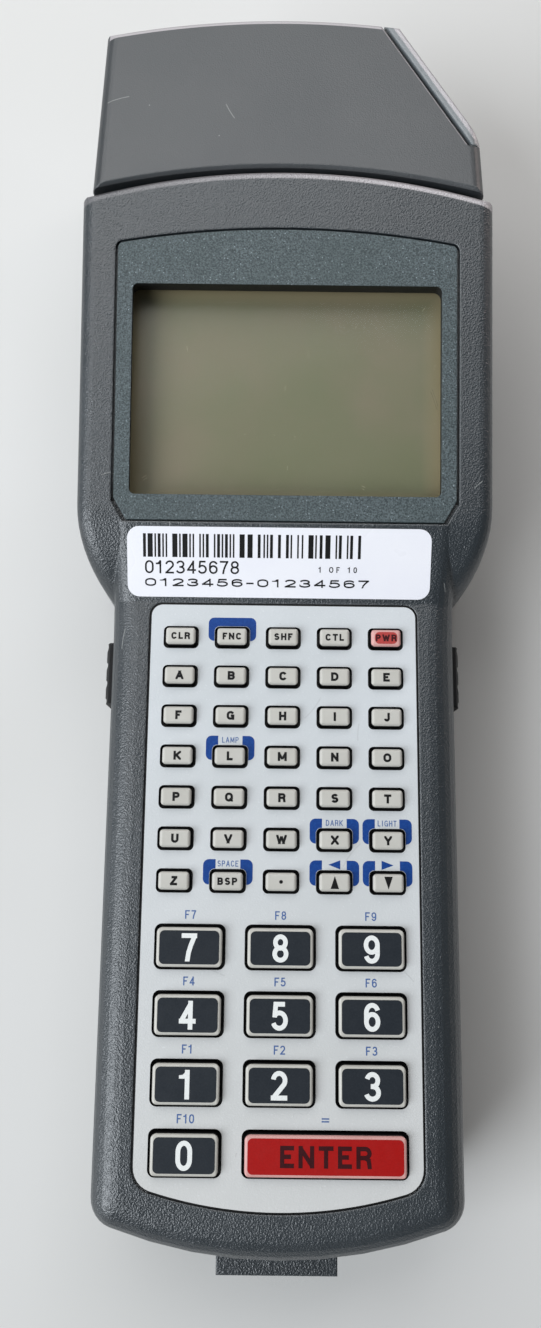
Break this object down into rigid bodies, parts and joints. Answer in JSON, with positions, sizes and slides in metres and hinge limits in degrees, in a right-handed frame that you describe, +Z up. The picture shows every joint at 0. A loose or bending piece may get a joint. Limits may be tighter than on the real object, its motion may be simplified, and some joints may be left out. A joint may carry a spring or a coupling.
{
  "type": "portable barcode data terminal",
  "caption": "Handheld barcode data terminal: keypad grip, wider tilted display section, swivelling scan head with an angled window, side triggers and a hinged battery door.",
  "frame": {"origin": "middle of the overall width and length, on the flat back that the terminal lies on", "axes": "+X across to the side of the scan window, +Y along the grip towards the scan head, +Z up out of the keypad face"},
  "size_m": [0.0738, 0.223, 0.043],
  "materials": {
    "housing": "fine leather-grain moulding",
    "head": "fine matt moulding",
    "overlay": "satin printed sheet",
    "bezel": "coarse speckled texture",
    "engine": "die-cast",
    "display": "olive liquid-crystal panel",
    "board": "green solder mask",
    "battery": "metal cells in a blue shrink wrap",
    "screw": "plated steel",
    "scan_window": "dark frame with a deep red pane",
    "trigger": "black ribbed rubber",
    "key_dark": "printed dark face",
    "key_red": "printed red face",
    "key_light": "satin light grey"
  },
  "bodies": {
    "body": {"front_housing": "housing", "back_housing": "housing", "keypad_overlay": "overlay", "display_cover": "bezel", "lcd_module": "display", "main_board": "board", "battery_pack": "battery", "housing_screws": "screw"},
    "scan_head": {"head_housing": "head", "scan_window": "scan_window", "scan_engine": "engine"},
    "battery_door": {"battery_door": "housing"},
    "trigger_left": {"trigger_left": "trigger"},
    "trigger_right": {"trigger_right": "trigger"},
    "key_7": {"key_7": "key_dark"},
    "key_8": {"key_8": "key_dark"},
    "key_9": {"key_9": "key_dark"},
    "key_4": {"key_4": "key_dark"},
    "key_5": {"key_5": "key_dark"},
    "key_6": {"key_6": "key_dark"},
    "key_1": {"key_1": "key_dark"},
    "key_2": {"key_2": "key_dark"},
    "key_3": {"key_3": "key_dark"},
    "key_0": {"key_0": "key_dark"},
    "key_enter": {"key_enter": "key_red"},
    "key_clr": {"key_clr": "key_light"},
    "key_fnc": {"key_fnc": "key_light"},
    "key_shf": {"key_shf": "key_light"},
    "key_ctl": {"key_ctl": "key_light"},
    "key_pwr": {"key_pwr": "key_light"},
    "key_a": {"key_a": "key_light"},
    "key_b": {"key_b": "key_light"},
    "key_c": {"key_c": "key_light"},
    "key_d": {"key_d": "key_light"},
    "key_e": {"key_e": "key_light"},
    "key_f": {"key_f": "key_light"},
    "key_g": {"key_g": "key_light"},
    "key_h": {"key_h": "key_light"},
    "key_i": {"key_i": "key_light"},
    "key_j": {"key_j": "key_light"},
    "key_k": {"key_k": "key_light"},
    "key_l": {"key_l": "key_light"},
    "key_m": {"key_m": "key_light"},
    "key_n": {"key_n": "key_light"},
    "key_o": {"key_o": "key_light"},
    "key_p": {"key_p": "key_light"},
    "key_q": {"key_q": "key_light"},
    "key_r": {"key_r": "key_light"},
    "key_s": {"key_s": "key_light"},
    "key_t": {"key_t": "key_light"},
    "key_u": {"key_u": "key_light"},
    "key_v": {"key_v": "key_light"},
    "key_w": {"key_w": "key_light"},
    "key_x": {"key_x": "key_light"},
    "key_y": {"key_y": "key_light"},
    "key_z": {"key_z": "key_light"},
    "key_bsp": {"key_bsp": "key_light"},
    "key_dot": {"key_dot": "key_light"},
    "key_up": {"key_up": "key_light"},
    "key_down": {"key_down": "key_light"}
  },
  "joints": [
    {"name": "head_swivel", "type": "hinge", "parent": "body", "child": "scan_head", "pos_m": [0, 0.07729, 0.02154], "axis": [0, 1, 0], "range_deg": [0, 180]},
    {"name": "battery_door_hinge", "type": "hinge", "parent": "body", "child": "battery_door", "pos_m": [0, -0.08479, 0.0025], "axis": [-1, 0, 0], "range_deg": [0, 90]},
    {"name": "trigger_left_press", "type": "slide", "parent": "body", "child": "trigger_left", "axis": [1, 0, 0], "range_m": [0, 0.0012], "stiffness_N_per_m": 1200, "springref_m": -0.0006},
    {"name": "trigger_right_press", "type": "slide", "parent": "body", "child": "trigger_right", "axis": [-1, 0, 0], "range_m": [0, 0.0012], "stiffness_N_per_m": 1200, "springref_m": -0.0006},
    {"name": "key_7_press", "type": "slide", "parent": "body", "child": "key_7", "axis": [0, 0, -1], "range_m": [0, 0.001], "stiffness_N_per_m": 600, "springref_m": -0.0004},
    {"name": "key_8_press", "type": "slide", "parent": "body", "child": "key_8", "axis": [0, 0, -1], "range_m": [0, 0.001], "stiffness_N_per_m": 600, "springref_m": -0.0004},
    {"name": "key_9_press", "type": "slide", "parent": "body", "child": "key_9", "axis": [0, 0, -1], "range_m": [0, 0.001], "stiffness_N_per_m": 600, "springref_m": -0.0004},
    {"name": "key_4_press", "type": "slide", "parent": "body", "child": "key_4", "axis": [0, 0, -1], "range_m": [0, 0.001], "stiffness_N_per_m": 600, "springref_m": -0.0004},
    {"name": "key_5_press", "type": "slide", "parent": "body", "child": "key_5", "axis": [0, 0, -1], "range_m": [0, 0.001], "stiffness_N_per_m": 600, "springref_m": -0.0004},
    {"name": "key_6_press", "type": "slide", "parent": "body", "child": "key_6", "axis": [0, 0, -1], "range_m": [0, 0.001], "stiffness_N_per_m": 600, "springref_m": -0.0004},
    {"name": "key_1_press", "type": "slide", "parent": "body", "child": "key_1", "axis": [0, 0, -1], "range_m": [0, 0.001], "stiffness_N_per_m": 600, "springref_m": -0.0004},
    {"name": "key_2_press", "type": "slide", "parent": "body", "child": "key_2", "axis": [0, 0, -1], "range_m": [0, 0.001], "stiffness_N_per_m": 600, "springref_m": -0.0004},
    {"name": "key_3_press", "type": "slide", "parent": "body", "child": "key_3", "axis": [0, 0, -1], "range_m": [0, 0.001], "stiffness_N_per_m": 600, "springref_m": -0.0004},
    {"name": "key_0_press", "type": "slide", "parent": "body", "child": "key_0", "axis": [0, 0, -1], "range_m": [0, 0.001], "stiffness_N_per_m": 600, "springref_m": -0.0004},
    {"name": "key_enter_press", "type": "slide", "parent": "body", "child": "key_enter", "axis": [0, 0, -1], "range_m": [0, 0.001], "stiffness_N_per_m": 600, "springref_m": -0.0004},
    {"name": "key_clr_press", "type": "slide", "parent": "body", "child": "key_clr", "axis": [0, 0, -1], "range_m": [0, 0.001], "stiffness_N_per_m": 600, "springref_m": -0.0004},
    {"name": "key_fnc_press", "type": "slide", "parent": "body", "child": "key_fnc", "axis": [0, 0, -1], "range_m": [0, 0.001], "stiffness_N_per_m": 600, "springref_m": -0.0004},
    {"name": "key_shf_press", "type": "slide", "parent": "body", "child": "key_shf", "axis": [0, 0, -1], "range_m": [0, 0.001], "stiffness_N_per_m": 600, "springref_m": -0.0004},
    {"name": "key_ctl_press", "type": "slide", "parent": "body", "child": "key_ctl", "axis": [0, 0, -1], "range_m": [0, 0.001], "stiffness_N_per_m": 600, "springref_m": -0.0004},
    {"name": "key_pwr_press", "type": "slide", "parent": "body", "child": "key_pwr", "axis": [0, 0, -1], "range_m": [0, 0.001], "stiffness_N_per_m": 600, "springref_m": -0.0004},
    {"name": "key_a_press", "type": "slide", "parent": "body", "child": "key_a", "axis": [0, 0, -1], "range_m": [0, 0.001], "stiffness_N_per_m": 600, "springref_m": -0.0004},
    {"name": "key_b_press", "type": "slide", "parent": "body", "child": "key_b", "axis": [0, 0, -1], "range_m": [0, 0.001], "stiffness_N_per_m": 600, "springref_m": -0.0004},
    {"name": "key_c_press", "type": "slide", "parent": "body", "child": "key_c", "axis": [0, 0, -1], "range_m": [0, 0.001], "stiffness_N_per_m": 600, "springref_m": -0.0004},
    {"name": "key_d_press", "type": "slide", "parent": "body", "child": "key_d", "axis": [0, 0, -1], "range_m": [0, 0.001], "stiffness_N_per_m": 600, "springref_m": -0.0004},
    {"name": "key_e_press", "type": "slide", "parent": "body", "child": "key_e", "axis": [0, 0, -1], "range_m": [0, 0.001], "stiffness_N_per_m": 600, "springref_m": -0.0004},
    {"name": "key_f_press", "type": "slide", "parent": "body", "child": "key_f", "axis": [0, 0, -1], "range_m": [0, 0.001], "stiffness_N_per_m": 600, "springref_m": -0.0004},
    {"name": "key_g_press", "type": "slide", "parent": "body", "child": "key_g", "axis": [0, 0, -1], "range_m": [0, 0.001], "stiffness_N_per_m": 600, "springref_m": -0.0004},
    {"name": "key_h_press", "type": "slide", "parent": "body", "child": "key_h", "axis": [0, 0, -1], "range_m": [0, 0.001], "stiffness_N_per_m": 600, "springref_m": -0.0004},
    {"name": "key_i_press", "type": "slide", "parent": "body", "child": "key_i", "axis": [0, 0, -1], "range_m": [0, 0.001], "stiffness_N_per_m": 600, "springref_m": -0.0004},
    {"name": "key_j_press", "type": "slide", "parent": "body", "child": "key_j", "axis": [0, 0, -1], "range_m": [0, 0.001], "stiffness_N_per_m": 600, "springref_m": -0.0004},
    {"name": "key_k_press", "type": "slide", "parent": "body", "child": "key_k", "axis": [0, 0, -1], "range_m": [0, 0.001], "stiffness_N_per_m": 600, "springref_m": -0.0004},
    {"name": "key_l_press", "type": "slide", "parent": "body", "child": "key_l", "axis": [0, 0, -1], "range_m": [0, 0.001], "stiffness_N_per_m": 600, "springref_m": -0.0004},
    {"name": "key_m_press", "type": "slide", "parent": "body", "child": "key_m", "axis": [0, 0, -1], "range_m": [0, 0.001], "stiffness_N_per_m": 600, "springref_m": -0.0004},
    {"name": "key_n_press", "type": "slide", "parent": "body", "child": "key_n", "axis": [0, 0, -1], "range_m": [0, 0.001], "stiffness_N_per_m": 600, "springref_m": -0.0004},
    {"name": "key_o_press", "type": "slide", "parent": "body", "child": "key_o", "axis": [0, 0, -1], "range_m": [0, 0.001], "stiffness_N_per_m": 600, "springref_m": -0.0004},
    {"name": "key_p_press", "type": "slide", "parent": "body", "child": "key_p", "axis": [0, 0, -1], "range_m": [0, 0.001], "stiffness_N_per_m": 600, "springref_m": -0.0004},
    {"name": "key_q_press", "type": "slide", "parent": "body", "child": "key_q", "axis": [0, 0, -1], "range_m": [0, 0.001], "stiffness_N_per_m": 600, "springref_m": -0.0004},
    {"name": "key_r_press", "type": "slide", "parent": "body", "child": "key_r", "axis": [0, 0, -1], "range_m": [0, 0.001], "stiffness_N_per_m": 600, "springref_m": -0.0004},
    {"name": "key_s_press", "type": "slide", "parent": "body", "child": "key_s", "axis": [0, 0, -1], "range_m": [0, 0.001], "stiffness_N_per_m": 600, "springref_m": -0.0004},
    {"name": "key_t_press", "type": "slide", "parent": "body", "child": "key_t", "axis": [0, 0, -1], "range_m": [0, 0.001], "stiffness_N_per_m": 600, "springref_m": -0.0004},
    {"name": "key_u_press", "type": "slide", "parent": "body", "child": "key_u", "axis": [0, 0, -1], "range_m": [0, 0.001], "stiffness_N_per_m": 600, "springref_m": -0.0004},
    {"name": "key_v_press", "type": "slide", "parent": "body", "child": "key_v", "axis": [0, 0, -1], "range_m": [0, 0.001], "stiffness_N_per_m": 600, "springref_m": -0.0004},
    {"name": "key_w_press", "type": "slide", "parent": "body", "child": "key_w", "axis": [0, 0, -1], "range_m": [0, 0.001], "stiffness_N_per_m": 600, "springref_m": -0.0004},
    {"name": "key_x_press", "type": "slide", "parent": "body", "child": "key_x", "axis": [0, 0, -1], "range_m": [0, 0.001], "stiffness_N_per_m": 600, "springref_m": -0.0004},
    {"name": "key_y_press", "type": "slide", "parent": "body", "child": "key_y", "axis": [0, 0, -1], "range_m": [0, 0.001], "stiffness_N_per_m": 600, "springref_m": -0.0004},
    {"name": "key_z_press", "type": "slide", "parent": "body", "child": "key_z", "axis": [0, 0, -1], "range_m": [0, 0.001], "stiffness_N_per_m": 600, "springref_m": -0.0004},
    {"name": "key_bsp_press", "type": "slide", "parent": "body", "child": "key_bsp", "axis": [0, 0, -1], "range_m": [0, 0.001], "stiffness_N_per_m": 600, "springref_m": -0.0004},
    {"name": "key_dot_press", "type": "slide", "parent": "body", "child": "key_dot", "axis": [0, 0, -1], "range_m": [0, 0.001], "stiffness_N_per_m": 600, "springref_m": -0.0004},
    {"name": "key_up_press", "type": "slide", "parent": "body", "child": "key_up", "axis": [0, 0, -1], "range_m": [0, 0.001], "stiffness_N_per_m": 600, "springref_m": -0.0004},
    {"name": "key_down_press", "type": "slide", "parent": "body", "child": "key_down", "axis": [0, 0, -1], "range_m": [0, 0.001], "stiffness_N_per_m": 600, "springref_m": -0.0004}
  ]
}
